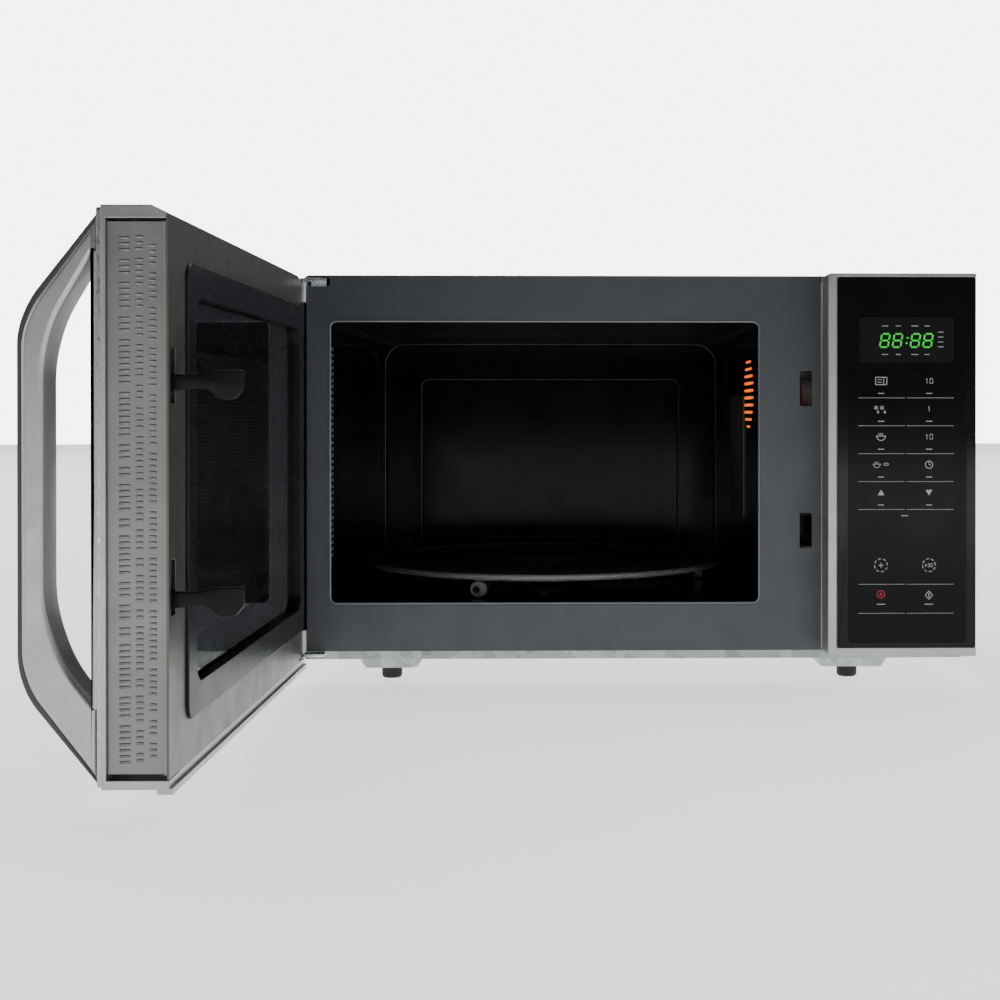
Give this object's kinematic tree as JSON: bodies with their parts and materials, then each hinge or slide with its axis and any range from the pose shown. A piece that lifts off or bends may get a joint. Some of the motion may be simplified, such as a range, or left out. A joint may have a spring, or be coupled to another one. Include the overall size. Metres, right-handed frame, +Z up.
{
  "type": "microwave oven",
  "caption": "Countertop microwave oven with side-hinged door open, D handle, turntable cavity and side control panel",
  "frame": {"origin": "on the resting plane, under the middle of the front plate's front face", "axes": "+X to the right seen from the front, +Y from the front plate to the back, +Z up; the door stands open along -Y at the left"},
  "size_m": [0.5569, 0.7394, 0.2992],
  "materials": {
    "painted_steel": "satin dark grey enamel",
    "cabinet_paint": "satin powder coat",
    "cavity_enamel": "smooth grey-black enamel",
    "galvanised": "matt zinc coat",
    "zinc_hinge": "bright zinc plate",
    "foot_rubber": "matt",
    "silver_moulding": "silver paint on moulding",
    "front_steel": "brushed",
    "black_gloss": "gloss black",
    "keypad_film": "printed film",
    "board_laminate": "green laminate",
    "black_moulding": "matt black",
    "smoked_window": "smoked clear",
    "display_leds": "dark with green segments",
    "duct_steel": "plain sheet",
    "mica": "matt mica",
    "core_steel": "varnished laminations",
    "copper_winding": "varnished wire",
    "can_aluminium": "drawn can",
    "fan_plastic": "light grey",
    "lamp_glass": "clear bulb",
    "white_moulding": "white",
    "lead_insulation": "insulated leads",
    "tray_glass": "pressed glass",
    "clear_moulding": "natural translucent moulding",
    "roller_plastic": "dark roller support",
    "inner_skin_paint": "satin grey-brown",
    "edge_moulding": "matt silver grey",
    "choke_plastic": "charcoal",
    "clear_film": "clear sheet",
    "screen_steel": "black coat",
    "door_glass": "dark printed glass",
    "handle_silver": "satin silver",
    "dark_strip": "gloss black",
    "latch_black": "matt black moulding",
    "spring_steel": "wire",
    "screw_steel": "zinc"
  },
  "bodies": {
    "root": {"outer_cabinet": "cabinet_paint", "front_plate": "painted_steel", "cavity_liner": "cavity_enamel", "base_pan": "galvanised", "rear_panel": "galvanised", "rubber_feet": "foot_rubber", "foot_screws": "screw_steel", "upper_hinge_bracket": "zinc_hinge", "lower_hinge_bracket": "zinc_hinge", "control_housing": "silver_moulding", "control_fascia": "black_gloss", "membrane_keypad": "keypad_film", "control_board": "board_laminate", "board_parts": "black_moulding", "led_display": "display_leds", "display_window": "smoked_window", "waveguide": "duct_steel", "waveguide_cover": "mica", "magnetron": "can_aluminium", "transformer_core": "core_steel", "transformer_coils": "copper_winding", "hv_capacitor": "can_aluminium", "capacitor_clamp": "duct_steel", "hv_diode": "black_moulding", "fan_motor": "core_steel", "fan_shroud": "white_moulding", "air_duct": "white_moulding", "oven_lamp": "lamp_glass", "lamp_socket": "white_moulding", "latch_board": "white_moulding", "micro_switches": "black_moulding", "thermal_cutouts": "duct_steel", "filter_board": "board_laminate", "cord_inlet_bush": "black_moulding", "wiring_harness": "lead_insulation", "turntable_motor": "duct_steel", "body_screws": "screw_steel"},
    "door": {"door_frame": "silver_moulding", "door_inner_panel": "inner_skin_paint", "latch_cover": "edge_moulding", "choke_cover": "choke_plastic", "door_inner_film": "clear_film", "door_screen": "screen_steel", "door_front_cover": "front_steel", "door_outer_glass": "door_glass", "door_handle": "handle_silver", "handle_strip": "dark_strip", "latch_spring": "spring_steel", "door_screws": "screw_steel"},
    "latch": {"door_latch": "latch_black"},
    "turntable": {"glass_tray": "tray_glass", "drive_coupler": "clear_moulding"},
    "ring": {"roller_ring": "roller_plastic"},
    "roller_1": {"roller_1": "clear_moulding"},
    "roller_2": {"roller_2": "clear_moulding"},
    "roller_3": {"roller_3": "clear_moulding"},
    "fan": {"fan_blade": "fan_plastic"},
    "switch_button_1": {"switch_button_1": "clear_moulding"},
    "switch_button_2": {"switch_button_2": "clear_moulding"},
    "switch_button_3": {"switch_button_3": "clear_moulding"}
  },
  "joints": [
    {"name": "door_hinge", "type": "hinge", "parent": "root", "child": "door", "pos_m": [-0.2412, -0.0043, 0.156], "axis": [0, 0, 1], "range_deg": [-15, 90]},
    {"name": "latch_lift", "type": "slide", "parent": "door", "child": "latch", "axis": [0, 0, 1], "range_m": [0, 0.005], "stiffness_N_per_m": 300, "springref_m": -0.01, "deforming": ["latch_spring"]},
    {"name": "turntable_spin", "type": "hinge", "parent": "root", "child": "turntable", "pos_m": [-0.068, 0.159, 0.06], "axis": [0, 0, 1], "continuous": true},
    {"name": "ring_spin", "type": "hinge", "parent": "root", "child": "ring", "pos_m": [-0.068, 0.159, 0.06], "axis": [0, 0, 1], "continuous": true},
    {"name": "fan_spin", "type": "hinge", "parent": "root", "child": "fan", "pos_m": [0.172, 0.318, 0.165], "axis": [0, 1, 0], "continuous": true},
    {"name": "roller_1_spin", "type": "hinge", "parent": "ring", "child": "roller_1", "pos_m": [0.05974, 0.17695, 0.06445], "axis": [0.9903, 0.1392, 0], "continuous": true},
    {"name": "roller_2_spin", "type": "hinge", "parent": "ring", "child": "roller_2", "pos_m": [-0.14742, 0.26065, 0.06445], "axis": [-0.6157, 0.788, 0], "continuous": true},
    {"name": "roller_3_spin", "type": "hinge", "parent": "ring", "child": "roller_3", "pos_m": [-0.11632, 0.03939, 0.06445], "axis": [-0.3746, -0.9272, 0], "continuous": true},
    {"name": "switch_1_press", "type": "slide", "parent": "root", "child": "switch_button_1", "axis": [0, 0, -1], "range_m": [0, 0.001], "stiffness_N_per_m": 400, "springref_m": -0.001},
    {"name": "switch_2_press", "type": "slide", "parent": "root", "child": "switch_button_2", "axis": [0, 0, -1], "range_m": [0, 0.001], "stiffness_N_per_m": 400, "springref_m": -0.001},
    {"name": "switch_3_press", "type": "slide", "parent": "root", "child": "switch_button_3", "axis": [0, 0, -1], "range_m": [0, 0.001], "stiffness_N_per_m": 400, "springref_m": -0.001}
  ],
  "couplings": [
    {"joint": "ring_spin", "follows": "turntable_spin", "ratio": 0.5},
    {"joint": "roller_1_spin", "follows": "turntable_spin", "ratio": -10.75},
    {"joint": "roller_2_spin", "follows": "turntable_spin", "ratio": -10.75},
    {"joint": "roller_3_spin", "follows": "turntable_spin", "ratio": -10.75}
  ]
}
